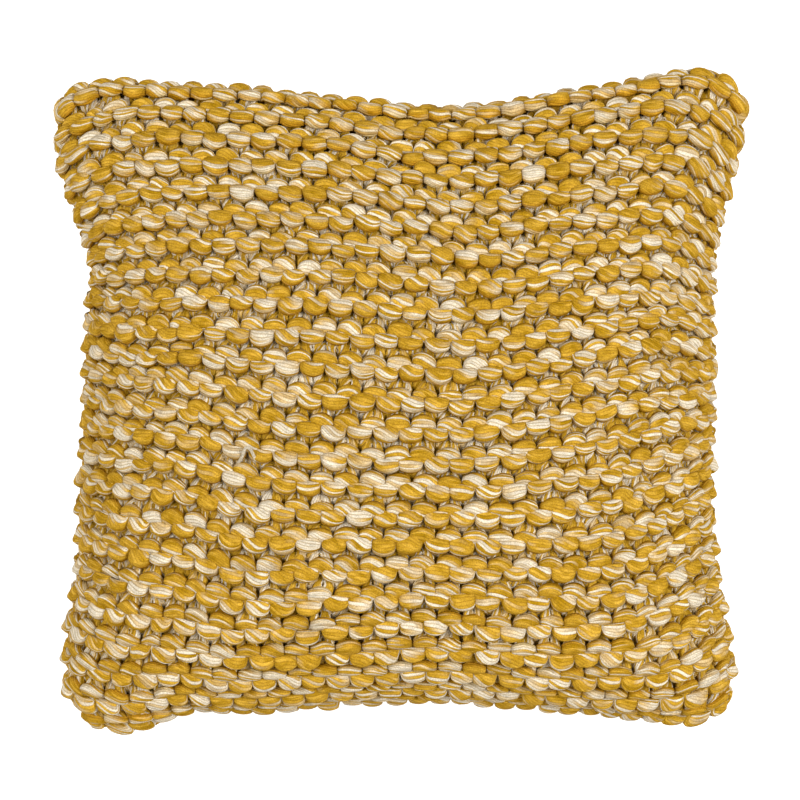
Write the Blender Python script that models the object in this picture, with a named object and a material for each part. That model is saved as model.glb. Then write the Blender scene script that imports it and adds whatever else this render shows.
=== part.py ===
"""A square knitted cushion, filled and lying on its back.

Metres, +Z up. +X and +Y run along the sides of the upper face, with the knitted
rows along X. The origin is under the middle of the cushion, on the surface it
rests on. The cushion is one filled solid: two knitted panels that meet in a
plain seam all the way round, with a crown on both faces, sides drawn in between
four soft ears, 24 raised ridges a face, and a flat patch where it rests.

A point of a panel is named by two numbers from -1 to 1: across (left to right)
and along (bottom edge to top edge). Both panels meet where either is -1 or 1.
"""
import bpy
import numpy as np

# Driving sizes
SEAM_HEIGHT = 0.061
EAR_DROOP = 0.009
FRONT_CROWN = 0.068
BACK_CROWN = 0.066
CROWN_FULLNESS = 3.1
CROWN_STEEPNESS = 0.62
SLUMP = 0.22
EDGE_THICKNESS = 0.014
EDGE_ROUNDNESS = 16.0
EAR_ROUNDNESS = 4.5

# The knit
RIDGES = 24
RIDGE_DEPTH = 0.0042
RIDGE_PROFILE = (0.0, 0.78, 1.0, 0.78)
COLUMNS = 24
ARC_SAMPLES = 400

# Where the four corners would lie if they weren't rounded: across, along
CORNERS = {
    "bottom_left": (-0.2320, -0.2310),
    "bottom_right": (0.2320, -0.2215),
    "top_left": (-0.2420, 0.2200),
    "top_right": (0.2430, 0.2320),
}

# Each side is drawn in by depth at its low point, and runs out to the ears
# with a bow before and after it: the larger the bow, the flatter the middle
SIDES = {
    #          depth   low   bow_before  bow_after
    "left":   (0.0370, 0.38, 2.2, 1.5),
    "right":  (0.0365, 0.15, 2.6, 2.1),
    "top":    (0.0375, 0.10, 1.4, 1.6),
    "bottom": (0.0340, 0.08, 2.6, 1.6),
}

# Soft troughs in the upper face, from one point to another
TROUGHS = (
    # across_1 along_1 across_2 along_2 depth   half_width
    (-0.98, 0.10, -0.62, 0.16, 0.0050, 0.060),
    (-0.97, -0.22, -0.72, -0.20, 0.0030, 0.050),
    (0.98, 0.26, 0.60, 0.20, 0.0050, 0.060),
    (0.97, -0.04, 0.70, 0.00, 0.0035, 0.050),
    (0.06, 0.97, 0.02, 0.74, 0.0040, 0.070),
    (-0.88, 0.86, -0.66, 0.62, 0.0035, 0.055),
    (0.88, 0.86, 0.68, 0.62, 0.0035, 0.055),
    (-0.86, -0.86, -0.62, -0.64, 0.0030, 0.055),
)

# The filling's gentle unevenness: height, waves across, waves along, phase
UNEVENNESS = (
    (0.0018, 2.3, 1.1, 0.4),
    (0.0014, 1.2, 3.1, 2.1),
    (0.0009, 4.1, 2.7, 4.0),
)

# Colour and finish of the yarn, as a plain mean
YARN_COLOUR = (0.62, 0.41, 0.11, 1.0)
YARN_ROUGHNESS = 0.9


def clear_scene():
    """Remove the objects that the file opens with."""
    for thing in list(bpy.data.objects):
        bpy.data.objects.remove(thing, do_unlink=True)


def drawn_in(side, place):
    """How far a side is drawn in at a place from -1 to 1 along it."""
    depth, low, bow_before, bow_after = SIDES[side]
    after = place > low
    reach = np.where(after, (place - low) / (1 - low), (low - place) / (1 + low))
    bow = np.where(after, bow_after, bow_before)
    return depth * (1 - reach ** bow)


def between(first, second, place):
    """Straight blend from the first value at -1 to the second at 1."""
    return first * (1 - place) / 2 + second * (1 + place) / 2


def plan_view(across, along):
    """Where a panel's point lies seen from above: its x and y."""
    bottom_left, bottom_right = CORNERS["bottom_left"], CORNERS["bottom_right"]
    top_left, top_right = CORNERS["top_left"], CORNERS["top_right"]
    left = between(bottom_left[0], top_left[0], along) + drawn_in("left", along)
    right = between(bottom_right[0], top_right[0], along) - drawn_in("right", along)
    bottom = between(bottom_left[1], bottom_right[1], across) + drawn_in("bottom", across)
    top = between(top_left[1], top_right[1], across) - drawn_in("top", across)
    corner = (np.abs(across) * np.abs(along)) ** EAR_ROUNDNESS
    rounding = 1 - corner / (2 * EAR_ROUNDNESS + 1)
    return between(left, right, across) * rounding, between(bottom, top, along) * rounding


def crown(across, along, height):
    """Height of a panel above the seam: a crown on a short upright edge."""
    full = (1 - np.abs(across) ** CROWN_FULLNESS) * (1 - np.abs(along) ** CROWN_FULLNESS)
    edge = (1 - np.abs(across) ** EDGE_ROUNDNESS) * (1 - np.abs(along) ** EDGE_ROUNDNESS)
    return height * full ** CROWN_STEEPNESS + EDGE_THICKNESS * np.sqrt(edge)


def trough_depth(across, along):
    """Depth of the soft troughs: each is deepest on its line and fades round it."""
    total = np.zeros_like(across)
    for across_1, along_1, across_2, along_2, depth, half_width in TROUGHS:
        run_across, run_along = across_2 - across_1, along_2 - along_1
        length = run_across ** 2 + run_along ** 2
        step = ((across - across_1) * run_across + (along - along_1) * run_along) / length
        step = np.clip(step, 0, 1)
        off = np.hypot(across - across_1 - step * run_across, along - along_1 - step * run_along)
        total += depth * (1 - 0.6 * step) * np.exp(-(off / half_width) ** 2)
    return total


def unevenness(across, along):
    """Gentle lumps of the filling, which die away at the seam."""
    inside = (1 - across ** 2) * (1 - along ** 2)
    waves = np.zeros_like(across)
    for height, waves_across, waves_along, phase in UNEVENNESS:
        waves += height * np.sin(np.pi * (waves_across * across + waves_along * along) + phase)
    return waves * np.sqrt(inside)


def panel_point(across, along, face):
    """x, y and z of a point of the upper (face 1) or lower (face -1) panel."""
    x, y = plan_view(across, along)
    seam = SEAM_HEIGHT - EAR_DROOP * (np.abs(across) * np.abs(along)) ** 3
    if face > 0:
        slumped = along + SLUMP * (1 - along ** 2)
        rise = crown(across, slumped, FRONT_CROWN) + unevenness(across, along)
        rise -= trough_depth(across, along) * (1 - np.abs(across) ** EDGE_ROUNDNESS)
    else:
        rise = -crown(across, along, BACK_CROWN)
    edge = np.maximum(np.abs(across), np.abs(along)) > 1 - 1e-9
    return np.stack([x, y, seam + np.where(edge, 0, rise)], axis=-1)


def even_rows(across, face):
    """Places along one column that share its arc length out between the ridges."""
    fine = np.sin(np.linspace(-np.pi / 2, np.pi / 2, ARC_SAMPLES))
    points = panel_point(np.full_like(fine, across), fine, face)
    steps = np.linalg.norm(np.diff(points, axis=0), axis=1)
    length = np.concatenate([[0], np.cumsum(steps)])
    share = np.linspace(0, 1, RIDGES * len(RIDGE_PROFILE) + 1)
    return np.interp(share * length[-1], length, fine)


def panel_grid(face):
    """All points of a panel, as rows by columns, with each row on a knitted line."""
    columns = np.sin(np.linspace(-np.pi / 2, np.pi / 2, COLUMNS + 1))
    along = np.stack([even_rows(place, face) for place in columns], axis=1)
    across = np.broadcast_to(columns, along.shape)
    return panel_point(across, along, face)


def closed_faces(rows, columns):
    """Quads of both panels, which share the points of the seam round them."""
    upper = np.arange(rows * columns).reshape(rows, columns)
    lower = upper.copy()
    inner = (rows - 2) * (columns - 2)
    lower[1:-1, 1:-1] = rows * columns + np.arange(inner).reshape(rows - 2, columns - 2)
    quads = []
    for grid, order in ((upper, (0, 1, 2, 3)), (lower, (3, 2, 1, 0))):
        corners = (grid[:-1, :-1], grid[:-1, 1:], grid[1:, 1:], grid[1:, :-1])
        quads.append(np.stack([corners[i] for i in order], axis=-1).reshape(-1, 4))
    return np.concatenate(quads)


def ridge_heights(rows, columns):
    """Share of the ridge depth at each point, full on the seam at top and bottom."""
    heights = np.resize(RIDGE_PROFILE, rows)
    heights[0] = heights[-1] = 1.0
    return np.repeat(heights[:, None], columns, axis=1)


def build_cushion():
    """The filled cushion: smooth panels, then ridges, then the flat patch."""
    upper = panel_grid(1)
    lower = panel_grid(-1)
    rows, columns = upper.shape[:2]
    heights = ridge_heights(rows, columns)
    points = np.concatenate([upper.reshape(-1, 3), lower[1:-1, 1:-1].reshape(-1, 3)])
    heights = np.concatenate([heights.reshape(-1), heights[1:-1, 1:-1].reshape(-1)])

    mesh = bpy.data.meshes.new("cushion")
    mesh.from_pydata(points.tolist(), [], closed_faces(rows, columns).tolist())
    normals = np.empty(len(points) * 3)
    mesh.vertex_normals.foreach_get("vector", normals)
    points -= normals.reshape(-1, 3) * (RIDGE_DEPTH * (1 - heights))[:, None]

    points[:, 2] = np.maximum(points[:, 2], 0)
    points[:, :2] -= (points[:, :2].min(axis=0) + points[:, :2].max(axis=0)) / 2
    mesh.vertices.foreach_set("co", points.reshape(-1))
    mesh.shade_smooth()
    mesh.update()
    cushion = bpy.data.objects.new("cushion", mesh)
    bpy.context.scene.collection.objects.link(cushion)
    return cushion


def yarn_material():
    """Plain matt yarn in the knit's mean colour."""
    material = bpy.data.materials.new("yarn")
    material.use_nodes = True
    shader = material.node_tree.nodes["Principled BSDF"]
    shader.inputs["Base Color"].default_value = YARN_COLOUR
    shader.inputs["Roughness"].default_value = YARN_ROUGHNESS
    shader.inputs["Metallic"].default_value = 0.0
    return material


clear_scene()
build_cushion().data.materials.append(yarn_material())
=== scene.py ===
# %% [markdown]
# # A chunky knitted cushion
# The cushion is a square pad in a cover knitted by hand in garter stitch, from
# thick cotton yarn whose loose strands are mustard and cream. It lies on its back.
# The solid from the CAD gives its size and its place, and this script gives it its
# looks: first the filled body, then every row of yarn that is knitted over it.

# %% Load the frame
import math

import bpy
import numpy as np
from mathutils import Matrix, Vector, kdtree


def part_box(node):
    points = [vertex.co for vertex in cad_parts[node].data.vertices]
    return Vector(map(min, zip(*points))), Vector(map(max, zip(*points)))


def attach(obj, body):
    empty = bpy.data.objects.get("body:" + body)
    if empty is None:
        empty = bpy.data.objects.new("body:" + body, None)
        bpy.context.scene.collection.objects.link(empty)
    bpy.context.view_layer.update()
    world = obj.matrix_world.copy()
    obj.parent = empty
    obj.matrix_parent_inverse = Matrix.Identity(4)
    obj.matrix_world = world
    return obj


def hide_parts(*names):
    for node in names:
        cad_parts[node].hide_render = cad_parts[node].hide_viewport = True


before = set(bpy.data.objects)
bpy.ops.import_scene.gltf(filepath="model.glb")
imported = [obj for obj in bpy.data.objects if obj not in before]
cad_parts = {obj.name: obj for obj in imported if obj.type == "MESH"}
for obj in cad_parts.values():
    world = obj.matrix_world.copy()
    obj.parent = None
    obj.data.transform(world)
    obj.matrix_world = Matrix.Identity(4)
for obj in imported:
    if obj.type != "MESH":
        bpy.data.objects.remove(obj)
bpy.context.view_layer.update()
LOW, HIGH = (np.array(corner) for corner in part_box("cushion"))
SIZE = HIGH - LOW
print("cushion", np.round(SIZE * 1000, 1), "mm")

# %% [markdown]
# ## Camera
# The photo looks straight at the cushion's face. Here the cushion lies on its
# back, so the camera hangs above it with the cushion's top edge up in the picture.
# A long lens far away keeps the sides from spreading.

# %% Camera above the face
CAMERA_HEIGHT = 2.3
EAR_HEIGHT = 0.055
EAR_SPAN = 0.440
FRAME_SHARE = 696 / 800
SENSOR = 36


def add_object(name, data):
    """A new object that holds a mesh, lamp or camera, put into the scene."""
    thing = bpy.data.objects.new(name, data)
    bpy.context.scene.collection.objects.link(thing)
    return thing


def make_camera():
    """A camera whose frame holds the cushion's width in its share of the picture."""
    data = bpy.data.cameras.new("camera")
    data.sensor_width = SENSOR
    width_seen = EAR_SPAN / FRAME_SHARE
    data.lens = SENSOR * (CAMERA_HEIGHT - EAR_HEIGHT) / width_seen
    camera = add_object("camera", data)
    camera.location = (0, 0, CAMERA_HEIGHT)
    bpy.context.scene.camera = camera
    return camera


print("lens", round(make_camera().data.lens), "mm")

# %% [markdown]
# ## The filled body
# A pad swells in the middle and is thin at its seam. Its sides are drawn in
# because the cloth that rises over the filling has to come from somewhere, and
# the four ears stay out because there is little filling in them. Both faces are
# one formula of two numbers, across and along, that go from -1 to 1, and they
# meet where either is -1 or 1.

# %% The pad's outline and crown
CORNERS = {
    "bottom_left": (-0.2325, -0.2338),
    "bottom_right": (0.2360, -0.2262),
    "top_left": (-0.2450, 0.2220),
    "top_right": (0.2465, 0.2350),
}
SIDES = {
    #          depth   low   bow_before  bow_after
    "left":   (0.0405, 0.38, 2.2, 1.5),
    "right":  (0.0434, 0.15, 2.6, 2.1),
    "top":    (0.0410, 0.10, 1.4, 1.6),
    "bottom": (0.0405, 0.08, 2.6, 1.5),
}
DIPS = (
    # side, place along it, depth (below 0 it bulges), half width
    ("left", 0.72, -0.0035, 0.13),
    ("left", 0.42, 0.0060, 0.16),
    ("left", -0.47, 0.0030, 0.15),
    ("right", 0.45, 0.0045, 0.20),
    ("right", -0.45, 0.0030, 0.22),
    ("top", 0.30, 0.0035, 0.25),
    ("top", -0.65, 0.0020, 0.12),
    ("top", 0.64, 0.0028, 0.12),
    ("bottom", -0.65, 0.0075, 0.13),
    ("left", 0.88, 0.0030, 0.05),
    ("left", -1.00, 0.0155, 0.065),
    ("right", -1.00, 0.0060, 0.08),
    ("top", 1.00, 0.0100, 0.09),
    ("bottom", 0.62, 0.0040, 0.28),
)
SEAM_HEIGHT = 0.061
EAR_DROOP = 0.009
FRONT_CROWN = 0.068
BACK_CROWN = 0.066
FULLNESS = 3.1
STEEPNESS = 0.62
SLUMP = 0.22
EDGE_THICKNESS = 0.014
LEAST_THICKNESS = 0.004
EDGE_ROUNDNESS = 16.0
EAR_ROUNDNESS = 4.5
FADE_INWARDS = 0.6
TROUGHS = (
    # across_1, along_1, across_2, along_2, depth, half width
    (-0.98, 0.10, -0.62, 0.16, 0.0050, 0.060),
    (-0.97, -0.22, -0.72, -0.20, 0.0030, 0.050),
    (0.98, 0.26, 0.60, 0.20, 0.0050, 0.060),
    (0.97, -0.04, 0.70, 0.00, 0.0035, 0.050),
    (0.06, 0.97, 0.02, 0.74, 0.0040, 0.070),
    (-0.88, 0.86, -0.66, 0.62, 0.0035, 0.055),
    (0.88, 0.86, 0.68, 0.62, 0.0035, 0.055),
    (-0.86, -0.86, -0.62, -0.64, 0.0030, 0.055),
)
UNEVENNESS = (
    # height, waves across, waves along, phase
    (0.0018, 2.3, 1.1, 0.4),
    (0.0014, 1.2, 3.1, 2.1),
    (0.0009, 4.1, 2.7, 4.0),
)


def drawn_in(side, place):
    """Depth times one minus a power of the distance from the side's low point.

    Each dip adds a bell curve, its depth times e to minus the distance squared.
    """
    depth, low, bow_before, bow_after = SIDES[side]
    after = place > low
    reach = np.where(after, (place - low) / (1 - low), (low - place) / (1 + low))
    total = depth * (1 - reach ** np.where(after, bow_after, bow_before))
    for name, at, more, half_width in DIPS:
        if name == side:
            total = total + more * np.exp(-((place - at) / half_width) ** 2)
    return total


def between(first, second, place):
    """Straight blend from the first value at -1 to the second at 1."""
    return first * (1 - place) / 2 + second * (1 + place) / 2


def plan_view(across, along):
    """x and y: a blend between the drawn-in sides, with the corners rounded off."""
    low_left, low_right = CORNERS["bottom_left"], CORNERS["bottom_right"]
    high_left, high_right = CORNERS["top_left"], CORNERS["top_right"]
    left = between(low_left[0], high_left[0], along) + drawn_in("left", along)
    right = between(low_right[0], high_right[0], along) - drawn_in("right", along)
    bottom = between(low_left[1], low_right[1], across) + drawn_in("bottom", across)
    top = between(high_left[1], high_right[1], across) - drawn_in("top", across)
    corner = (np.abs(across) * np.abs(along)) ** EAR_ROUNDNESS
    rounding = 1 - corner / (2 * EAR_ROUNDNESS + 1)
    return between(left, right, across) * rounding, between(bottom, top, along) * rounding


def crown(across, along, height, edge_thickness):
    """Height above the seam: a flat-topped dome on a short upright edge."""
    full = (1 - np.abs(across) ** FULLNESS) * (1 - np.abs(along) ** FULLNESS)
    edge = (1 - np.abs(across) ** EDGE_ROUNDNESS) * (1 - np.abs(along) ** EDGE_ROUNDNESS)
    return height * full ** STEEPNESS + edge_thickness * np.sqrt(edge)


def trough_depth(across, along):
    """Soft troughs: deepest on a short line, and fading round it as a bell curve."""
    total = np.zeros_like(across)
    for across_1, along_1, across_2, along_2, depth, half_width in TROUGHS:
        run = np.array([across_2 - across_1, along_2 - along_1])
        step = ((across - across_1) * run[0] + (along - along_1) * run[1]) / (run @ run)
        step = np.clip(step, 0, 1)
        off = np.hypot(across - across_1 - step * run[0], along - along_1 - step * run[1])
        total += depth * (1 - FADE_INWARDS * step) * np.exp(-(off / half_width) ** 2)
    return total


def unevenness(across, along):
    """Gentle lumps of the filling: a sum of sines that dies away at the seam."""
    waves = np.zeros_like(across)
    for height, waves_across, waves_along, phase in UNEVENNESS:
        waves += height * np.sin(np.pi * (waves_across * across + waves_along * along) + phase)
    return waves * np.sqrt((1 - across ** 2) * (1 - along ** 2))


def pad_point(across, along, face, inset):
    """A point of the upper (1) or lower (-1) face, inset from the knit's outside."""
    x, y = plan_view(across, along)
    x, y = x * (1 - 2 * inset / SIZE[0]), y * (1 - 2 * inset / SIZE[1])
    seam = SEAM_HEIGHT - EAR_DROOP * (np.abs(across) * np.abs(along)) ** 3
    edge_thickness = max(EDGE_THICKNESS - inset, LEAST_THICKNESS)
    if face > 0:
        slumped = along + SLUMP * (1 - along ** 2)
        rise = crown(across, slumped, FRONT_CROWN, edge_thickness) + unevenness(across, along)
        rise -= trough_depth(across, along) * (1 - np.abs(across) ** EDGE_ROUNDNESS)
    else:
        rise = -crown(across, along, BACK_CROWN, edge_thickness)
    edge = np.maximum(np.abs(across), np.abs(along)) > 1 - 1e-9
    return np.stack([x, y, seam + np.where(edge, 0, rise)], axis=-1)


print("ears reach", np.round(np.max(plan_view(np.linspace(0, 1, 99), np.ones(99))[0]), 4))

# %% [markdown]
# The body is a closed mesh on two grids that share the points of the seam. The
# grid lines crowd towards the seam, where the pad curves most.

# %% Grids of the two faces
BODY_STEPS = 64
KNIT_INSET = 0.0076
BODY_INSET = KNIT_INSET + 0.0031
FLOOR_GAP = 0.0095


def body_grids(inset):
    """Upper and lower face as arrays of points, rows along by columns across."""
    places = np.sin(np.linspace(-np.pi / 2, np.pi / 2, BODY_STEPS + 1))
    across, along = np.meshgrid(places, places)
    return [pad_point(across, along, face, inset) for face in (1, -1)]


def closed_grid_faces(steps):
    """Quads of both faces, which share the points of the seam."""
    side = steps + 1
    upper = np.arange(side * side).reshape(side, side)
    lower = upper.copy()
    lower[1:-1, 1:-1] = side * side + np.arange((side - 2) ** 2).reshape(side - 2, -1)
    quads = []
    for grid, order in ((upper, (0, 1, 2, 3)), (lower, (3, 2, 1, 0))):
        corners = (grid[:-1, :-1], grid[:-1, 1:], grid[1:, 1:], grid[1:, :-1])
        quads.append(np.stack([corners[i] for i in order], axis=-1).reshape(-1, 4))
    return np.concatenate(quads)


BODY_QUADS = closed_grid_faces(BODY_STEPS)


def fill_mesh(mesh, points, quads, ngons=None):
    """Put whole arrays of points and faces into a mesh, the quads first."""
    loops = [quads.reshape(-1)]
    totals = [np.full(len(quads), 4)]
    if ngons is not None:
        loops.append(ngons.reshape(-1))
        totals.append(np.full(len(ngons), ngons.shape[1]))
    loops, totals = np.concatenate(loops), np.concatenate(totals)
    mesh.vertices.add(len(points))
    mesh.vertices.foreach_set("co", np.ascontiguousarray(points, dtype=np.float32).reshape(-1))
    mesh.loops.add(len(loops))
    mesh.loops.foreach_set("vertex_index", loops.astype(np.int32))
    mesh.polygons.add(len(totals))
    starts = np.concatenate([[0], np.cumsum(totals)[:-1]])
    mesh.polygons.foreach_set("loop_start", starts.astype(np.int32))
    mesh.update(calc_edges=True)
    mesh.shade_smooth()


def body_points(grids):
    """The two grids as one list of points, in the order that the quads use."""
    return np.concatenate([grids[0].reshape(-1, 3), grids[1][1:-1, 1:-1].reshape(-1, 3)])


grids = body_grids(BODY_INSET)
print("body grid", grids[0].shape[:2])

# %% [markdown]
# ## Filling pressed against the cover
# The formula gives a shape that is too even. So the body is copied as a fine
# net of even squares, the net is held near its seam, and it is run as cloth with
# pressure inside for twenty steps. Every point of the grids then moves as the
# cloth near it moved, by a few millimetres at most. The cloth has no random part,
# so it comes out the same each time. Last, what is below the thickness of the
# yarn is pressed up, because the knit under the cushion lies flat on the floor.

# %% Blow the body up as cloth
VOXEL = 0.006
PRESSURE = 4.0
LAST_FRAME = 20
MOST_MOVE = 0.005
HELD_AT_SEAM = 0.015
SIDEWAYS = 0.2
NEAREST = 6
NEAREST_SOFTNESS = 0.001


def evaluated_points(thing):
    """An object's points with its modifiers worked out, and the mesh itself."""
    depsgraph = bpy.context.evaluated_depsgraph_get()
    mesh = bpy.data.meshes.new_from_object(thing.evaluated_get(depsgraph))
    points = np.empty(len(mesh.vertices) * 3, dtype=np.float32)
    mesh.vertices.foreach_get("co", points)
    return points.reshape(-1, 3).astype(float), mesh


def search_tree(points):
    """A tree that finds the nearest of many points quickly."""
    tree = kdtree.KDTree(len(points))
    for number, point in enumerate(points):
        tree.insert(point, number)
    tree.balance()
    return tree


def swell(grids):
    """Move both grids as cloth under pressure moves, held at its seam."""
    rough = add_object("rough", bpy.data.meshes.new("rough"))
    fill_mesh(rough.data, body_points(grids), BODY_QUADS)
    remesh = rough.modifiers.new("remesh", "REMESH")
    remesh.mode = "VOXEL"
    remesh.voxel_size = VOXEL
    before, mesh = evaluated_points(rough)
    cover = add_object("cover", mesh)
    seam = np.concatenate([grids[0][0], grids[0][-1], grids[0][:, 0], grids[0][:, -1]])
    tree = search_tree(seam)
    held = cover.vertex_groups.new(name="held")
    for number, point in enumerate(before):
        distance = tree.find(point)[2]
        held.add([number], float(np.clip(2 - distance / HELD_AT_SEAM, 0, 1)), "REPLACE")
    cloth = cover.modifiers.new("cloth", "CLOTH")
    cloth.settings.use_pressure = True
    cloth.settings.uniform_pressure_force = PRESSURE
    cloth.settings.effector_weights.gravity = 0.0
    cloth.settings.vertex_group_mass = "held"
    for number in range(1, LAST_FRAME + 1):
        bpy.context.scene.frame_set(number)
    after = evaluated_points(cover)[0]
    bpy.context.scene.frame_set(1)
    move = after - before
    length = np.linalg.norm(move, axis=1, keepdims=True)
    print("cloth moves", round(float(np.median(length)) * 1000, 1), "mm, at most",
          round(float(length.max()) * 1000, 1), "mm")
    move *= np.minimum(1, MOST_MOVE / np.maximum(length, 1e-9))
    move[:, :2] *= SIDEWAYS
    tree = search_tree(before)
    swollen = []
    for grid in grids:
        moved = np.empty_like(grid)
        for place in np.ndindex(grid.shape[:2]):
            near = tree.find_n(grid[place], NEAREST)
            weight = np.array([1 / (distance + NEAREST_SOFTNESS) for _, _, distance in near])
            moves = move[[number for _, number, _ in near]]
            moved[place] = grid[place] + weight @ moves / weight.sum()
        swollen.append(moved)
    swollen[1][0], swollen[1][-1] = swollen[0][0], swollen[0][-1]
    swollen[1][:, 0], swollen[1][:, -1] = swollen[0][:, 0], swollen[0][:, -1]
    for thing in (rough, cover):
        bpy.data.objects.remove(thing, do_unlink=True)
    return swollen


def rest_on_floor(grids):
    """Press whatever is lower than the yarn's thickness up to that height."""
    for grid in grids:
        grid[..., 2] = np.maximum(grid[..., 2], FLOOR_GAP)
    return grids


grids = swell(grids)
grids = rest_on_floor(grids)
corner_low, corner_high = (np.round(f(grids, axis=(0, 1, 2)), 4) for f in (np.min, np.max))
print("body from", corner_low, "to", corner_high)

# %% [markdown]
# ## Knit coordinates
# Two numbers place anything on the knit: how many ridges up from the bottom edge,
# and how many stitches in from the left. Real stitches are all nearly one size,
# so both are shared out by length along the curved surface, not by length in the
# picture. This is why the ridges look closer together near the top and bottom,
# where the surface tips away. Towards both sides the rows climb, most of all in
# the lower part, and near the top they turn down a little instead. They also
# wander, as rows do that were knitted by hand.

# %% Ridges up and stitches across
STITCHES = 30
RIDGES = 24
LIFT_FROM = 0.45
SIDE_LIFT = 1.6
LEFT_LIFT_TURNS = 0.84
RIGHT_LIFT_TURNS = 0.72
WANDERS = (
    # height in ridges, waves across, waves up, phase
    (0.10, 1.3, 2.1, 1.0),
    (0.10, 2.6, -1.2, 0.0),
)
SIDE_CROWDING = 0.05


def smooth_step(value):
    """0 below 0, 1 above 1, and an even S between."""
    value = np.clip(value, 0, 1)
    return value * value * (3 - 2 * value)


def sample_grid(grid, rows, columns):
    """Smooth values between grid points: a cubic through the four nearest each way."""
    def weights(part):
        return (((-0.5 * part + 1) * part - 0.5) * part,
                (1.5 * part - 2.5) * part * part + 1,
                ((-1.5 * part + 2) * part + 0.5) * part,
                (0.5 * part - 0.5) * part * part)
    row, column = np.floor(rows).astype(int), np.floor(columns).astype(int)
    total = 0
    for i, row_weight in enumerate(weights(rows - row)):
        near_row = np.clip(row + i - 1, 0, grid.shape[0] - 1)
        for j, column_weight in enumerate(weights(columns - column)):
            near_column = np.clip(column + j - 1, 0, grid.shape[1] - 1)
            weight = (row_weight * column_weight)[..., None]
            total = total + grid[near_row, near_column] * weight
    return total


def arc_share(points):
    """Share of the length run along the first axis of a line of points, 0 to 1."""
    steps = np.linalg.norm(np.diff(points, axis=0), axis=1)
    length = np.concatenate([[0], np.cumsum(steps)])
    return length / length[-1]


def knit_grid(grid, detail=6):
    """Points of a face at even steps of ridge and stitch, by arc length each way.

    A row is lifted near the sides by the square of how near they are, or lowered
    if it is above the place where the lift turns, and wanders as two sines. Both
    fade out towards the first and the last row.
    """
    steps = grid.shape[0] - 1
    ridge_share = np.linspace(0, 1, RIDGES * detail + 1)
    index = np.arange(steps + 1)
    across = np.abs(np.sin(np.pi * (index / steps - 0.5)))
    near_side = np.clip((across - LIFT_FROM) / (1 - LIFT_FROM), 0, 1) ** 2
    free = np.sin(np.pi * ridge_share) / RIDGES
    rows = []
    for i in index:
        wander = sum(height * np.sin(2 * np.pi * (waves * i / steps + climb * ridge_share) + phase)
                     for height, waves, climb, phase in WANDERS)
        turns = LEFT_LIFT_TURNS if i < steps / 2 else RIGHT_LIFT_TURNS
        lift = SIDE_LIFT * near_side[i] * (1 - (ridge_share / turns) ** 2)
        share = ridge_share + free * (lift + wander)
        rows.append(np.interp(share, arc_share(grid[:, i]), index))
    rows = np.stack(rows, axis=1)
    columns = np.broadcast_to(index, rows.shape).astype(float)
    on_rows = sample_grid(grid, rows, columns)
    stitch_share = np.linspace(0, 1, STITCHES * detail + 1)
    crowded = SIDE_CROWDING * np.sin(2 * np.pi * stitch_share) / (2 * np.pi)
    stitch_share = stitch_share - crowded
    final_columns = np.stack([np.interp(stitch_share, arc_share(line), index)
                              for line in on_rows])
    final_rows = np.stack([np.interp(place, index, line)
                           for place, line in zip(final_columns, rows)])
    return sample_grid(grid, final_rows, final_columns)


def unit(vectors):
    """Vectors made one long."""
    return vectors / np.maximum(np.linalg.norm(vectors, axis=-1, keepdims=True), 1e-12)


class KnitFace:
    """One face's surface in knit coordinates: ridges up, stitches across."""

    def __init__(self, grid, face, detail=6):
        self.detail = detail
        self.face = face
        self.points = knit_grid(grid, detail)
        self.wale = unit(np.gradient(self.points, axis=0))
        course = unit(np.gradient(self.points, axis=1))
        self.normal = unit(np.cross(course, self.wale)) * face
        self.lengths = np.linalg.norm(np.gradient(self.points, axis=0), axis=-1).mean()

    def at(self, ridge, stitch):
        """Point, outward normal and wale direction at any ridge and stitch.

        Past the top and bottom seams the surface goes straight on along the wale.
        """
        past = ridge - np.clip(ridge, 0, RIDGES)
        rows, columns = (ridge - past) * self.detail, stitch * self.detail
        point = sample_grid(self.points, rows, columns)
        normal = unit(sample_grid(self.normal, rows, columns))
        wale = unit(sample_grid(self.wale, rows, columns))
        point = point + wale * (past * self.lengths * self.detail)[..., None]
        return point, normal, wale


faces = {face: KnitFace(grid, face) for face, grid in zip((1, -1), grids)}
print("ridge pitch", round(faces[1].lengths * faces[1].detail * 1000, 1), "mm")

# %% [markdown]
# ## The path of the yarn
# In garter stitch the yarn of one row goes up, over, down and under again, once a
# stitch. Where it passes in front of its neighbours it makes a thick short arc:
# an even row shows the heads of its loops, which arch upwards, and an odd row
# shows the strands that join the loops, which sag. Two rows make one ridge. The
# legs that go back between the arcs fan out below them.

# %% The path of one row of yarn
YARN_RADIUS = 0.0050
LOOP_HEIGHT = 0.44
LOOP_SHAPE = (1.094, -0.149, 0.055)
FRONT_BULGE = 0.335
BACK_BULGE = -0.08
LOOP_DEPTH = 0.0040
THICKNESS_SHAPE = (0.77, 0.13, 0.10)
RIDGE_PITCH = 0.0194
BACK_LIFT = 0.0006
SMILE_PROUD = 0.0008
LEG_SPREAD = 0.07
EDGE_REACH = 0.20
SIDE_REACH = 0.45
SIDE_TIGHTNESS = 0.35
TOP_FROM = 15.0
TOP_THICKER = 0.16
UNEVEN_STITCH = 0.045
UNEVEN_RIDGE = 0.036
UNEVEN_DEPTH = 0.0005
UNEVEN_THICKNESS = 0.08
YARN_LIFT = BODY_INSET - KNIT_INSET
SEED = 11


def smooth_noise(rng, places, spread):
    """A random value for each half stitch of each row, joined by smooth curves."""
    nodes = rng.normal(0, spread, (len(places), 2 * STITCHES + 3))
    whole = np.clip(np.floor(places).astype(int) + 1, 0, 2 * STITCHES + 1)
    part = smooth_step(places - np.floor(places))
    first = np.take_along_axis(nodes, whole, axis=1)
    second = np.take_along_axis(nodes, whole + 1, axis=1)
    return first * (1 - part) + second * part


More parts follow.
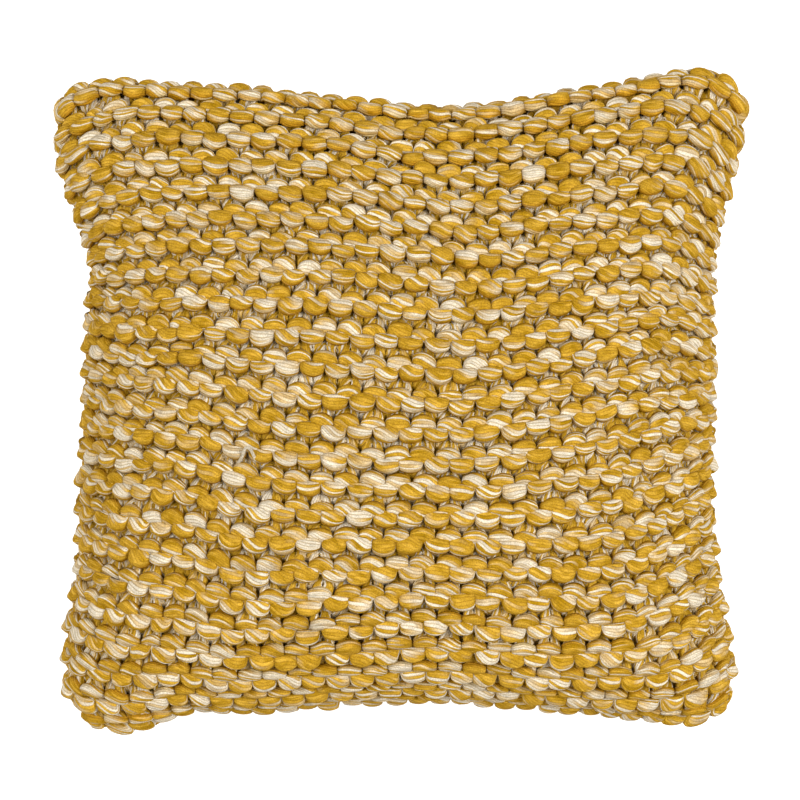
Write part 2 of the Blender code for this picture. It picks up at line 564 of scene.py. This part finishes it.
def yarn_paths(face, rows, samples, rng):
    """Centre lines of whole rows of garter stitch, and the frame round each point.

    A row swings up into a loop's head and down into the next sinker as a cosine
    with a little of its third and fifth harmonics, which make both broad, and the
    loops bulge sideways as a sine of twice the angle. The yarn is thickest in the
    middle of each head and sinker, as a sum of cosines of 0, 2 and 4 times the
    angle. Even rows have their heads in front and odd rows their sinkers, so that
    every two rows make one ridge. Samples crowd where the yarn is in front.
    """
    row = np.asarray(rows)[:, None]
    sign = np.where(row % 2 == 0, 1.0, -1.0)
    even = np.linspace(0, 2 * np.pi * STITCHES, STITCHES * samples + 1)[None]
    turn = even - 0.5 * sign * np.sin(even)
    half = turn / np.pi
    shift = smooth_noise(rng, half, UNEVEN_STITCH)
    height = smooth_noise(rng, half, UNEVEN_RIDGE)
    depth = smooth_noise(rng, half, UNEVEN_DEPTH)
    thick = 1 + smooth_noise(rng, half, UNEVEN_THICKNESS)
    near_end = smooth_step(1 - np.minimum(even, even[:, ::-1]) / (2 * np.pi))
    tight = 1 - SIDE_TIGHTNESS * near_end
    in_front = (1 + sign * np.cos(turn)) / 2
    bulge = BACK_BULGE + (FRONT_BULGE - BACK_BULGE) * in_front
    stitch = turn / (2 * np.pi) + bulge * np.sin(2 * turn) + shift
    stitch += LEG_SPREAD * sign * np.sin(turn)
    stitch = np.clip(stitch, SIDE_REACH, STITCHES - SIDE_REACH)
    swing = sum(part * np.cos((2 * i + 1) * turn) for i, part in enumerate(LOOP_SHAPE))
    ridge = (row + 0.5) / 2 + LOOP_HEIGHT * swing * tight + height
    ridge = np.clip(ridge, EDGE_REACH, RIDGES - EDGE_REACH)
    front = np.abs(np.cos(turn))
    level = np.sign(np.cos(turn)) * smooth_step((front - 0.15) / 0.75)
    sunk = BACK_LIFT * (1 - in_front) + SMILE_PROUD * in_front
    out = sign * (LOOP_DEPTH * level - sunk) + depth
    point, normal, wale = face.at(ridge, stitch)
    centre = point + normal * (YARN_LIFT + out)[..., None]
    tilt = math.atan2(LOOP_DEPTH, LOOP_HEIGHT * RIDGE_PITCH)
    up = unit(normal * math.cos(tilt) - wale * (sign * math.sin(tilt))[..., None])
    fullness = sum(part * np.cos(2 * i * turn) for i, part in enumerate(THICKNESS_SHAPE))
    radius = YARN_RADIUS * thick * fullness
    near_top = smooth_step((ridge - TOP_FROM) / (RIDGES - TOP_FROM))
    radius = radius * (1 + TOP_THICKER * near_top * in_front * (sign < 0))
    course = np.cross(wale, normal) * face.face
    lean = smooth_step((front - 0.30) / 0.4)[..., None]
    return centre, up, radius, course * lean


# %% [markdown]
# A tube is swept along each path. Its ring is a little boxy and flattened, which
# is how soft yarn squeezes against its neighbours, and while the yarn is in front
# its rings stand square to the row, so that arcs meet in thin upright slits.

# %% Tubes of yarn
BOXINESS = 0.52
FLATNESS = 0.72
OFF_FLOOR = 0.0004


def tube_mesh(name, centre, up, radius, sides, start, lean=None):
    """Tubes round many paths at once, each ring square to its path.

    A ring's points are the centre plus the radius times a power of the cosine of
    the angle along the side direction and of its sine along the up direction. The
    power makes it boxy. The UV map runs along the yarn in metres, and once round it.
    """
    paths, samples = centre.shape[:2]
    tangent = unit(np.gradient(centre, axis=1))
    if lean is not None:
        share = np.linalg.norm(lean, axis=-1, keepdims=True)
        tangent = unit(tangent * (1 - share) + lean)
    up = unit(up - tangent * np.sum(up * tangent, axis=-1, keepdims=True))
    side = np.cross(tangent, up)
    share = np.arange(sides + 1) / sides
    angle = 2 * np.pi * share[:-1]
    wide, high = (np.sign(f(angle)) * np.abs(f(angle)) ** BOXINESS for f in (np.cos, np.sin))
    ring = side[:, :, None] * wide[:, None] + up[:, :, None] * (FLATNESS * high)[:, None]
    points = centre[:, :, None] + ring * radius[:, :, None, None]
    points[..., 2] = np.maximum(points[..., 2], OFF_FLOOR)
    index = np.arange(paths * samples * sides).reshape(paths, samples, sides)
    around = np.roll(index, -1, axis=2)
    quads = np.stack([index[:, :-1], index[:, 1:], around[:, 1:], around[:, :-1]], axis=-1)
    caps = np.concatenate([index[:, 0], index[:, -1, ::-1]])
    mesh = bpy.data.meshes.new(name)
    fill_mesh(mesh, points.reshape(-1, 3), quads.reshape(-1, 4), caps)
    steps = np.linalg.norm(np.diff(centre, axis=1, prepend=centre[:, :1]), axis=-1)
    run = np.cumsum(steps, axis=1) + start
    u = np.broadcast_to(run[:, :, None], (paths, samples, sides))
    v_low = np.broadcast_to(share[:-1], u.shape)
    v_high = np.broadcast_to(share[1:], u.shape)
    corner_u = np.stack([u[:, :-1], u[:, 1:], u[:, 1:], u[:, :-1]], axis=-1)
    corner_v = np.stack([v_low[:, :-1], v_low[:, 1:], v_high[:, 1:], v_high[:, :-1]], axis=-1)
    quad_uv = np.stack([corner_u, corner_v], axis=-1).reshape(-1, 2)
    cap_uv = np.zeros((caps.size, 2))
    layer = mesh.uv_layers.new(name="yarn")
    both = np.concatenate([quad_uv, cap_uv]).astype(np.float32)
    layer.uv.foreach_set("vector", both.reshape(-1))
    return add_object(name, mesh)


# %% [markdown]
# ## Marled yarn
# The yarn is made of many thin strands laid side by side, some mustard and some
# cream. The UV map knows how far along the yarn a place is and how far round, so
# a stripe that turns slowly round the yarn is a strand. Noise along each strand
# decides where it is cream. Two materials use these strands, so they are a node
# group that puts out masks and heights.

# %% Marled strands
STRANDS = 18
STRAND_WAVE, STRAND_WAVES_A_METRE = 0.28, 45.0
BANDS_SHARE, SINGLE_SHARE, SLOW_SHARE = 0.38, 0.62, 0.42
CREAM_EDGE = 8.0
UNDERSIDE_EDGE = 1.4


def math_node(tree, operation, first, second=None, clamp=False):
    """One sum in the node tree: its inputs are numbers or other nodes' outputs."""
    node = tree.nodes.new("ShaderNodeMath")
    node.operation = operation
    node.use_clamp = clamp
    for socket, value in zip(node.inputs, (first, second)):
        if value is None:
            continue
        if isinstance(value, (int, float)):
            socket.default_value = value
        else:
            tree.links.new(value, socket)
    return node.outputs[0]


def noise_node(tree, scale, detail, dimensions="3D"):
    """A noise texture of one scale and detail."""
    noise = tree.nodes.new("ShaderNodeTexNoise")
    noise.noise_dimensions = dimensions
    noise.inputs["Scale"].default_value = scale
    noise.inputs["Detail"].default_value = detail
    return noise


def marled_group():
    """Marled strands: a mask of cream, a strand's height, its tone, the underside for painted
    shade.

    The cream mask is a sum of three noises less the amount: one in broad bands, one
    for each single strand, and a slow one that changes from stitch to stitch.
    """
    group = bpy.data.node_groups.new("marled strands", "ShaderNodeTree")
    for name in ("Cream", "Height", "Shade", "Underside"):
        group.interface.new_socket(name=name, in_out="OUTPUT", socket_type="NodeSocketFloat")
    group.interface.new_socket(name="Twist", in_out="INPUT", socket_type="NodeSocketFloat")
    group.interface.new_socket(name="Amount", in_out="INPUT", socket_type="NodeSocketFloat")
    given = group.nodes.new("NodeGroupInput").outputs
    result = group.nodes.new("NodeGroupOutput").inputs
    uv = group.nodes.new("ShaderNodeUVMap")
    uv.uv_map = "yarn"
    split = group.nodes.new("ShaderNodeSeparateXYZ")
    group.links.new(uv.outputs[0], split.inputs[0])
    run, around = split.outputs[0], split.outputs[1]
    wander = noise_node(group, STRAND_WAVES_A_METRE, 0.0, "1D")
    group.links.new(run, wander.inputs["W"])
    turned = math_node(group, "MULTIPLY", run, given["Twist"])
    waved = math_node(group, "MULTIPLY", wander.outputs["Fac"], STRAND_WAVE)
    twisted = math_node(group, "ADD", around, math_node(group, "ADD", turned, waved))
    count = math_node(group, "MULTIPLY", twisted, STRANDS)
    strand = math_node(group, "FLOOR", count)
    part = math_node(group, "FRACT", count)
    angle = math_node(group, "MULTIPLY", strand, 2 * math.pi / STRANDS)

    def noise_at(radius, per_metre, detail, offset):
        """Noise with one value round the yarn for each strand, stretched along it."""
        place = group.nodes.new("ShaderNodeCombineXYZ")
        for operation, socket in (("COSINE", place.inputs[0]), ("SINE", place.inputs[1])):
            turn = math_node(group, operation, angle)
            group.links.new(math_node(group, "MULTIPLY", turn, radius), socket)
        along = math_node(group, "MULTIPLY", run, per_metre)
        group.links.new(math_node(group, "ADD", along, offset), place.inputs[2])
        noise = noise_node(group, 1.0, detail)
        group.links.new(place.outputs[0], noise.inputs["Vector"])
        return noise.outputs["Fac"]

    bands = noise_at(radius=2.6, per_metre=30.0, detail=0.0, offset=0.0)
    single = noise_at(radius=8.0, per_metre=22.0, detail=0.0, offset=20.0)
    slow = noise_at(radius=0.35, per_metre=17.0, detail=0.0, offset=40.0)
    bands = math_node(group, "MULTIPLY", bands, BANDS_SHARE)
    single = math_node(group, "MULTIPLY", single, SINGLE_SHARE)
    slow = math_node(group, "MULTIPLY", math_node(group, "SUBTRACT", slow, 0.5), SLOW_SHARE)
    mixed = math_node(group, "ADD", math_node(group, "ADD", bands, single), slow)
    over = math_node(group, "SUBTRACT", mixed, given["Amount"])
    cream = math_node(group, "ADD", math_node(group, "MULTIPLY", over, CREAM_EDGE), 0.5, True)
    round_part = math_node(group, "SUBTRACT", math_node(group, "MULTIPLY", part, 2), 1)
    square = math_node(group, "MULTIPLY", round_part, round_part)
    height = math_node(group, "SQRT", math_node(group, "SUBTRACT", 1.0, square, True))
    shade = noise_at(radius=8.0, per_metre=90.0, detail=2.0, offset=80.0)
    # The underside is the side of each ring that faces down into the knit; the material paints
    # shade there.
    outward = math_node(group, "SINE", math_node(group, "MULTIPLY", around, 2 * math.pi))
    outward = math_node(group, "MULTIPLY", outward, UNDERSIDE_EDGE)
    underside = math_node(group, "SUBTRACT", 0.5, outward, True)
    group.links.new(cream, result["Cream"])
    group.links.new(height, result["Height"])
    group.links.new(shade, result["Shade"])
    group.links.new(underside, result["Underside"])
    return group


MARLED = marled_group()

# %% [markdown]
# The material gives the strands their two colours. The gaps between them are
# a little lower, and painted shade makes them darker; each strand varies in
# tone, and a fine grain stands for the cotton. Both the gaps and the underside
# of the yarn are painted warmer and darker as shade, since the light that
# reaches them has come off other yarn.

# %% Helpers for matt materials
def mix_colour(tree, factor, first, second, kind="MIX"):
    """A colour mix whose factor and colours are values or other nodes' outputs."""
    node = tree.nodes.new("ShaderNodeMix")
    node.data_type = "RGBA"
    node.blend_type = kind
    sockets = (node.inputs["Factor"], node.inputs[6], node.inputs[7])
    for socket, value in zip(sockets, (factor, first, second)):
        if isinstance(value, (int, float, tuple)):
            socket.default_value = value
        else:
            tree.links.new(value, socket)
    return node.outputs[2]


def tinted(tree, factor, colour, shade):
    """A colour that goes towards itself times a shade, as far as the factor says."""
    return mix_colour(tree, factor, colour, mix_colour(tree, 1.0, colour, shade, "MULTIPLY"))


def matt_material(name, roughness):
    """A plain matt material, with its node tree and its shader."""
    material = bpy.data.materials.new(name)
    material.use_nodes = True
    shader = material.node_tree.nodes["Principled BSDF"]
    shader.inputs["Roughness"].default_value = roughness
    return material, material.node_tree, shader


def raise_by(tree, shader, height, strength, distance):
    """Let a height tilt the shading, as relief of this distance would."""
    bump = tree.nodes.new("ShaderNodeBump")
    bump.inputs["Strength"].default_value = strength
    bump.inputs["Distance"].default_value = distance
    tree.links.new(height, bump.inputs["Height"])
    tree.links.new(bump.outputs[0], shader.inputs["Normal"])


# %% Cotton yarn
DEEP_MUSTARD = (0.318, 0.172, 0.0036, 1)
LIGHT_MUSTARD = (0.408, 0.242, 0.0280, 1)
CREAM = (0.525, 0.466, 0.370, 1)
# WARM_SHADE is painted shade for the underside of the yarn.
WARM_SHADE = (0.95, 0.82, 0.50, 1)
# GAP_SHADE is painted shade for the gaps between strands.
GAP_SHADE = (0.50, 0.35, 0.12, 1)
COTTON_ROUGHNESS = 0.95
TWIST = 9.0
MOSTLY_MUSTARD, MOSTLY_CREAM = 0.556, 0.25
COTTON_SHINE = 0.06
GAP_DEPTH, GAP_DEPTH_IN_CREAM, GAP_STRENGTH = 0.26, 0.22, 1.8
TONE_FROM, GRAIN_FROM, GRAIN, GRAIN_SCALE = 0.51, 0.41, 1.2, 1300.0
RELIEF, RELIEF_DEPTH = 0.65, 0.0005


def yarn_material(name, amount):
    """Matt cotton yarn of mustard and cream strands.

    The larger the amount, the less of it is cream. The twist is in turns a metre.
    """
    material, tree, shader = matt_material(name, COTTON_ROUGHNESS)
    strands = tree.nodes.new("ShaderNodeGroup")
    strands.node_tree = MARLED
    strands.inputs["Twist"].default_value = TWIST
    strands.inputs["Amount"].default_value = amount
    cream, height, shade, underside = (strands.outputs[word] for word in
                                       ("Cream", "Height", "Shade", "Underside"))
    lighter = math_node(tree, "MULTIPLY", shade, 3.0)
    lighter = math_node(tree, "SUBTRACT", lighter, 1.0, True)
    mustard = mix_colour(tree, lighter, DEEP_MUSTARD, LIGHT_MUSTARD)
    # Painted shade: the yarn's colour goes towards itself times WARM_SHADE on its underside.
    colour = tinted(tree, underside, mix_colour(tree, cream, mustard, CREAM), WARM_SHADE)
    # Painted shade in the gaps between strands: darker and browner where a strand's height is low,
    # and more so in cream.
    depth = math_node(tree, "MULTIPLY", cream, GAP_DEPTH_IN_CREAM)
    depth = math_node(tree, "ADD", depth, GAP_DEPTH)
    low = math_node(tree, "SUBTRACT", 1.0, height)
    gap = math_node(tree, "MULTIPLY", depth, low)
    gap = math_node(tree, "MULTIPLY", gap, GAP_STRENGTH, True)
    colour = tinted(tree, gap, colour, GAP_SHADE)
    place = tree.nodes.new("ShaderNodeTexCoord")
    fuzz = noise_node(tree, GRAIN_SCALE, 1.0)
    tree.links.new(place.outputs["Object"], fuzz.inputs["Vector"])
    grain = math_node(tree, "MULTIPLY", fuzz.outputs["Fac"], GRAIN)
    grain = math_node(tree, "ADD", grain, GRAIN_FROM)
    total = math_node(tree, "MULTIPLY", math_node(tree, "ADD", shade, TONE_FROM), grain)
    grey = tree.nodes.new("ShaderNodeCombineColor")
    for socket in grey.inputs:
        tree.links.new(total, socket)
    colour = mix_colour(tree, 1.0, colour, grey.outputs[0], "MULTIPLY")
    tree.links.new(colour, shader.inputs["Base Color"])
    shader.inputs["Specular IOR Level"].default_value = COTTON_SHINE
    raise_by(tree, shader, height, RELIEF, RELIEF_DEPTH)
    return material


yarn = yarn_material("yarn", MOSTLY_MUSTARD)
cream_strand = yarn_material("cream strand", MOSTLY_CREAM)
print("yarn of", STRANDS, "strands, with", TWIST, "turns a metre")

# %% [markdown]
# ## Knitting
# Forty-eight rows make the twenty-four ridges of a face. The front has finer
# tubes than the back, and each face is split into bands of whole ridges to keep
# every piece light. One generator with a fixed seed makes the stitches uneven.

# %% Knit the faces
FRONT_BANDS = 4
FRONT_SAMPLES, FRONT_SIDES = 18, 12
BACK_BANDS = 2
BACK_SAMPLES, BACK_SIDES = 10, 9
ROW_START, BACK_START = 1.7, 90


def knit_face(name, face, bands, samples, sides, rng):
    """Rows of yarn over one face, in bands of whole ridges."""
    pieces = []
    rows = np.arange(2 * RIDGES)
    for number, band in enumerate(np.array_split(rows, bands)):
        centre, up, radius, lean = yarn_paths(faces[face], band, samples, rng)
        start = (band * ROW_START + (0 if face > 0 else BACK_START))[:, None]
        piece = tube_mesh(f"{name}_{number + 1}", centre, up, radius, sides, start, lean)
        piece.data.materials.append(yarn)
        pieces.append(piece)
    return pieces


rng = np.random.default_rng(SEED)
knit = knit_face("front_knit", 1, FRONT_BANDS, FRONT_SAMPLES, FRONT_SIDES, rng)
knit += knit_face("back_knit", -1, BACK_BANDS, BACK_SAMPLES, BACK_SIDES, rng)
print("knitted", 2 * RIDGES, "rows of", STITCHES, "stitches a face")

# %% [markdown]
# ## Edges
# At a side the yarn turns back from one row into the next, so every ridge ends in
# a fist-like loop on both faces. Each loop is a short tube of its own, whose two
# ends are hidden in the knit.

# %% Ends of the rows at the sides
END_SAMPLES, END_SIDES = 16, 11
END_TURN = 2.2
END_REACH = 0.20
END_WIDTH = 0.34
END_HEIGHT = 0.24
END_TILT = 0.50
END_OUT = 0.0036
END_SUNK = 0.0025
END_RADIUS = 0.0046
END_THIN, END_SWELL = 0.72, 0.30
END_START = 400
UNEVEN_END, UNEVEN_END_OUT, UNEVEN_END_SIZE = 0.03, 0.0004, 0.05
SIDE_ROW_START, SIDE_START, FACE_START = 0.9, 40, 10


def row_ends(name, side, face, rng):
    """One loop a ridge, where the yarn turns back from one row into the next.

    Seen from its face it is an arc of an ellipse that opens towards the middle,
    and its two ends sink into the knit.
    """
    angle = np.linspace(-END_TURN, END_TURN, END_SAMPLES)[None]
    ridge = np.arange(RIDGES)[:, None]
    uneven = rng.normal(0, UNEVEN_END, ridge.shape)
    place = ridge + 0.5 + END_HEIGHT * np.sin(angle) + uneven
    inward = END_WIDTH * (1 - np.cos(angle))
    place = place - END_TILT * inward
    reach = END_REACH + inward + rng.normal(0, UNEVEN_END, ridge.shape)
    stitch = reach if side < 0 else STITCHES - reach
    point, normal, wale = faces[face].at(place, stitch)
    rise = np.cos(angle * np.pi / 2 / END_TURN)
    uneven = rng.normal(0, UNEVEN_END_OUT, ridge.shape)
    out = END_OUT * rise - END_SUNK * (1 - rise) + uneven
    centre = point + normal * (YARN_LIFT + out)[..., None]
    thick = 1 + rng.normal(0, UNEVEN_END_SIZE, ridge.shape)
    radius = END_RADIUS * (END_THIN + END_SWELL * rise) * thick
    start = ridge * SIDE_ROW_START + END_START + SIDE_START * side + FACE_START * face
    ends = tube_mesh(name, centre, normal, radius, END_SIDES, start)
    ends.data.materials.append(yarn)
    return ends


# %% [markdown]
# Between these loops, hooks of yarn go round the seam and join the two faces. The
# path of a hook is worked out on both faces, and then smoothed where it crosses.

# %% Hooks of yarn over the side seams
HOOK_SAMPLES, HOOK_SIDES = 16, 10
HOOK_FRONT, HOOK_BACK = 1.15, 1.1
HOOK_FROM, HOOK_CLIMB = -0.28, 0.56
HOOK_OUT, HOOK_SUNK, HOOK_LOWER = 0.0038, 0.0015, 0.0014
HOOK_THIN, HOOK_SWELL = 0.72, 0.28
HOOK_START = 200
UNEVEN_REACH, UNEVEN_PLACE, UNEVEN_HOOK_SIZE = 0.15, 0.04, 0.06


def knit_hooks(name, side, rng):
    """One hook a ridge, from the front face over the seam to the back face.

    Its path climbs as an even S in knit coordinates, lifted by a root of half a sine.
    """
    share = np.linspace(0, 1, HOOK_SAMPLES)[None]
    ridge = np.arange(RIDGES)[:, None]
    front_reach = HOOK_FRONT + rng.normal(0, UNEVEN_REACH, ridge.shape)
    reach = front_reach * (1 - share) - HOOK_BACK * share
    climb = HOOK_CLIMB * smooth_step(share * 1.1 - 0.05)
    place = ridge + HOOK_FROM + climb + rng.normal(0, UNEVEN_PLACE, ridge.shape)
    stitch = np.abs(reach) if side < 0 else STITCHES - np.abs(reach)
    front, back = (faces[face].at(place, stitch) for face in (1, -1))
    on_front = (reach > 0)[..., None]
    point, normal, wale = (np.where(on_front, a, b) for a, b in zip(front, back))
    lower = HOOK_LOWER * (1 + (2 * ridge / RIDGES - 1) ** 2)
    out = HOOK_OUT * np.sin(np.pi * share) ** 0.6 - HOOK_SUNK - lower
    centre = point + normal * (YARN_LIFT + out)[..., None]
    for _ in range(2):
        centre[:, 1:-1] = (centre[:, :-2] + 2 * centre[:, 1:-1] + centre[:, 2:]) / 4
    thick = 1 + rng.normal(0, UNEVEN_HOOK_SIZE, ridge.shape)
    radius = END_RADIUS * (HOOK_THIN + HOOK_SWELL * np.sin(np.pi * share)) * thick
    start = ridge * SIDE_ROW_START + HOOK_START + SIDE_START * side
    hooks = tube_mesh(name, centre, wale, radius, HOOK_SIDES, start)
    hooks.data.materials.append(yarn)
    return hooks


# %% [markdown]
# At the top and bottom edges each face is bound off with one more yarn that lies
# along the seam. At the top it is nearly smooth on the left and grows to a row of
# humps towards the right.

# %% Bound-off edges at top and bottom
ROPE_SAMPLES, ROPE_SIDES = 8, 10
ROPE_RADIUS = 0.0045
ROPE_INSET = 0.25
ROPE_END = 1.6
ROPE_END_DEPTH = 0.0050
HUMP = 0.0004
UNEVEN_ROPE, UNEVEN_ROPE_SIZE = 0.0005, 0.04
ROPES = (
    # name, ridge, how far out, how far down, phase of its humps
    ("top_edge", RIDGES, 0.0014, -0.0015, 0.0),
    ("top_edge_back", RIDGES, 0.0006, 0.0075, 0.5),
    ("bottom_edge", 0, 0.0022, -0.0015, 0.0),
    ("bottom_edge_back", 0, 0.0012, 0.0075, 0.5),
)
ROPE_START = 300


def edge_rope(name, ridge, out, lower, phase, rng):
    """One yarn along a seam, with a low hump at each stitch.

    The humps are a cosine of the stitch number. Its two ends grow thin and sink in
    between the faces.
    """
    samples = STITCHES * ROPE_SAMPLES + 1
    stitch = np.linspace(ROPE_INSET, STITCHES - ROPE_INSET, samples)[None]
    front, back = (faces[face].at(np.full_like(stitch, ridge), stitch) for face in (1, -1))
    outward = unit(front[1] + back[1])
    grown = 0.25 + 0.75 * smooth_step(stitch / STITCHES) if ridge else 0.7
    hump = np.cos(2 * np.pi * (stitch + phase)) * grown
    wander = smooth_noise(rng, 2 * stitch, UNEVEN_ROPE)
    centre = front[0] + outward * (YARN_LIFT + out + HUMP * hump + wander)[..., None]
    centre[..., 2] -= lower
    end = smooth_step(np.minimum(stitch, STITCHES - stitch) / ROPE_END)
    centre -= outward * (ROPE_END_DEPTH * (1 - end))[..., None]
    uneven = 0.92 + 0.12 * hump + smooth_noise(rng, 2 * stitch, UNEVEN_ROPE_SIZE)
    radius = ROPE_RADIUS * (0.62 + 0.38 * end) * (0.84 + 0.16 * grown) * uneven
    start = np.array([[ROPE_START + 7 * phase + ridge / 5.0]])
    rope = tube_mesh(name, centre, outward, radius, ROPE_SIDES, start)
    rope.data.materials.append(yarn)
    return rope


# %% [markdown]
# Hand work is never quite neat. One thin cream strand has been pulled up into a
# small loop left of the middle, and a few ends of fibre stand off the yarn.

# %% A pulled strand and a few stray fibres
PULLED = (
    # ridge, stitch, out
    (9.88, 8.62, 0.0035),
    (10.16, 8.86, 0.0085),
    (10.50, 9.04, 0.0116),
    (10.48, 9.24, 0.0116),
    (10.10, 9.40, 0.0060),
)
STRAY_FIBRES = (
    # ridge, stitch, lean along the row, length
    (23.85, 7.6, -0.6, 0.0045),
    (23.80, 7.9, 0.5, 0.0040),
    (14.6, 3.2, 0.4, 0.0040),
    (5.4, 21.7, -0.5, 0.0045),
)
LOOP_SAMPLES, LOOP_SIDES = 25, 8
LOOP_RADIUS, LOOP_START = 0.0010, 512.0
FIBRE_SAMPLES, FIBRE_SIDES = 8, 5
FIBRE_RADIUS, FIBRE_FROM, FIBRE_START = 0.0003, 0.0035, 520


def loose_strands(name):
    """A single strand pulled up into a small loop, and fibre ends that stand off.

    The loop is a smooth curve through the rows of its table. A fibre leans along
    its row by the square of the share of its length.
    """
    place = np.linspace(0, len(PULLED) - 1, LOOP_SAMPLES)
    table = np.array(PULLED)
    path = sample_grid(table[:, None], place, np.zeros(LOOP_SAMPLES))
    ridge, stitch, out = (path[:, i][None] for i in range(3))
    point, normal, wale = faces[1].at(ridge, stitch)
    loop = point + normal * (YARN_LIFT + out)[..., None]
    radius = np.full(ridge.shape, LOOP_RADIUS)
    start = np.array([[LOOP_START]])
    pieces = [tube_mesh(name + "_loop", loop, normal, radius, LOOP_SIDES, start)]
    share = np.linspace(0, 1, FIBRE_SAMPLES)[None]
    ridge, stitch, lean, length = (np.array(column)[:, None] for column in zip(*STRAY_FIBRES))
    point, normal, wale = faces[1].at(ridge + 0 * share, stitch + lean * share ** 2 * 0.2)
    fibre = point + normal * (YARN_LIFT + FIBRE_FROM + length * share)[..., None]
    radius = FIBRE_RADIUS * (1 - 0.6 * share) * np.ones_like(ridge)
    start = ridge * 0.1 + FIBRE_START
    pieces.append(tube_mesh(name + "_fibres", fibre, wale, radius, FIBRE_SIDES, start))
    for piece in pieces:
        piece.data.materials.append(cream_strand)
    return pieces


# %% [markdown]
# Now the edges and the strands are made. Every piece of the knit stands for its
# yarn, and here it is tied to the cushion's one body, so that it moves with it.

# %% Put the edges and strands on, and tie the pieces to the cushion
for side, word in ((-1, "left"), (1, "right")):
    knit.append(row_ends(f"{word}_ends", side, 1, rng))
    knit.append(row_ends(f"{word}_ends_back", side, -1, rng))
    knit.append(knit_hooks(f"{word}_seam", side, rng))
knit += [edge_rope(*rope, rng) for rope in ROPES]
knit += loose_strands("stray")
for piece in knit:
    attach(piece, "root")
counts = [len(piece.data.polygons) * 2 for piece in knit]
print(len(knit), "pieces of knit, about", sum(counts), "triangles, at most", max(counts))

# %% [markdown]
# ## The body under the knit
# The body fills the cushion just under the yarn, so that no gap between stitches
# shows through to nothing. It takes the place of the solid from the CAD, and it
# stands for a soft filling.

# %% The body under the knit
# The inner colours are the yarn's mustard and cream made darker and browner: painted shade,
# because the body is only seen deep between the loops.
SHADED_INNER_MUSTARD = (0.34, 0.17, 0.01, 1)
SHADED_INNER_CREAM = (0.50, 0.37, 0.16, 1)
STREAKS_A_METRE = (900, 90, 500)
STREAK_CONTRAST, STREAKS_LESS = 8.0, 4.2
INNER_RELIEF, INNER_RELIEF_DEPTH = 0.6, 0.0006


def inner_material():
    """The yarn seen deep between the loops: streaks along the wales, in colours darkened as
    painted shade.
    """
    material, tree, shader = matt_material("shaded inner yarn", COTTON_ROUGHNESS)
    place = tree.nodes.new("ShaderNodeTexCoord")
    scaled = tree.nodes.new("ShaderNodeMapping")
    scaled.inputs["Scale"].default_value = STREAKS_A_METRE
    tree.links.new(place.outputs["Object"], scaled.inputs["Vector"])
    streaks = noise_node(tree, 1.0, 2.0)
    tree.links.new(scaled.outputs[0], streaks.inputs["Vector"])
    cream = math_node(tree, "MULTIPLY", streaks.outputs["Fac"], STREAK_CONTRAST)
    cream = math_node(tree, "SUBTRACT", cream, STREAKS_LESS, True)
    colour = mix_colour(tree, cream, SHADED_INNER_MUSTARD, SHADED_INNER_CREAM)
    tree.links.new(colour, shader.inputs["Base Color"])
    raise_by(tree, shader, streaks.outputs["Fac"], INNER_RELIEF, INNER_RELIEF_DEPTH)
    return material


def make_body(grids):
    """The swollen body as one closed mesh."""
    mesh = bpy.data.meshes.new("cushion_body")
    fill_mesh(mesh, body_points(grids), BODY_QUADS)
    mesh.materials.append(inner_material())
    return add_object("cushion_body", mesh)


body = make_body(grids)
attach(body, "root")
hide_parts("cushion")
print("body of", len(body.data.polygons), "quads")

# %% [markdown]
# ## Floor, light and background
# The photo has a white background with no shadow, so the floor glows enough to
# come out white. It belongs to the stage and not to the cushion.

# %% Floor
FLOOR_REACH = 4.0
FLOOR_GREY = (0.55, 0.55, 0.55, 1)
FLOOR_GLOW = 0.65


def make_floor():
    """A wide grey square that glows, which is stage and not part."""
    mesh = bpy.data.meshes.new("floor")
    corners = [(-1, -1), (1, -1), (1, 1), (-1, 1)]
    points = [(x * FLOOR_REACH, y * FLOOR_REACH, 0) for x, y in corners]
    mesh.from_pydata(points, [], [(0, 1, 2, 3)])
    material, _, shader = matt_material("floor", 1.0)
    shader.inputs["Base Color"].default_value = FLOOR_GREY
    shader.inputs["Emission Color"].default_value = (1, 1, 1, 1)
    shader.inputs["Emission Strength"].default_value = FLOOR_GLOW
    mesh.materials.append(material)
    floor = add_object("floor", mesh)


make_floor()
print("floor", 2 * FLOOR_REACH, "m wide")

# %% [markdown]
# Two soft lamps stand at the sides, the right one stronger, which makes the
# right of the cushion slightly brighter. The dim light from all round is a little
# warm and is brightest from above, and it fills the gaps between the stitches.

# %% Lamps and the light from all round
LAMPS = (
    # name, place, size, watts
    ("key", (1.25, 0.1, 1.75), 0.9, 42),
    ("fill", (-1.3, 0.05, 1.85), 1.3, 35),
)
LAMP_COLOUR = (0.97, 0.99, 1.0)
AIM = (0, 0, 0.08)
WORLD_COLOUR = (1.0, 0.94, 0.82, 1)
WORLD_LEAST, WORLD_ABOVE = 0.18, 0.85


def area_light(name, place, size, power):
    """A soft square light aimed at the cushion's middle."""
    data = bpy.data.lights.new(name, "AREA")
    data.size = size
    data.energy = power
    data.color = LAMP_COLOUR
    light = add_object(name, data)
    light.location = place
    aim = Vector(-np.array(place) + np.array(AIM))
    light.rotation_euler = aim.to_track_quat("-Z", "Y").to_euler()


def soft_world():
    """Dim warm light from all round: its strength grows with the upward direction."""
    world = bpy.data.worlds.new("studio")
    world.use_nodes = True
    tree = world.node_tree
    background = tree.nodes["Background"]
    background.inputs["Color"].default_value = WORLD_COLOUR
    direction = tree.nodes.new("ShaderNodeTexCoord")
    split = tree.nodes.new("ShaderNodeSeparateXYZ")
    tree.links.new(direction.outputs["Generated"], split.inputs[0])
    above = math_node(tree, "MULTIPLY", split.outputs[2], WORLD_ABOVE, True)
    strength = math_node(tree, "ADD", above, WORLD_LEAST)
    tree.links.new(strength, background.inputs["Strength"])
    bpy.context.scene.world = world


for lamp in LAMPS:
    area_light(*lamp)
soft_world()
bpy.context.scene.view_settings.view_transform = "Standard"
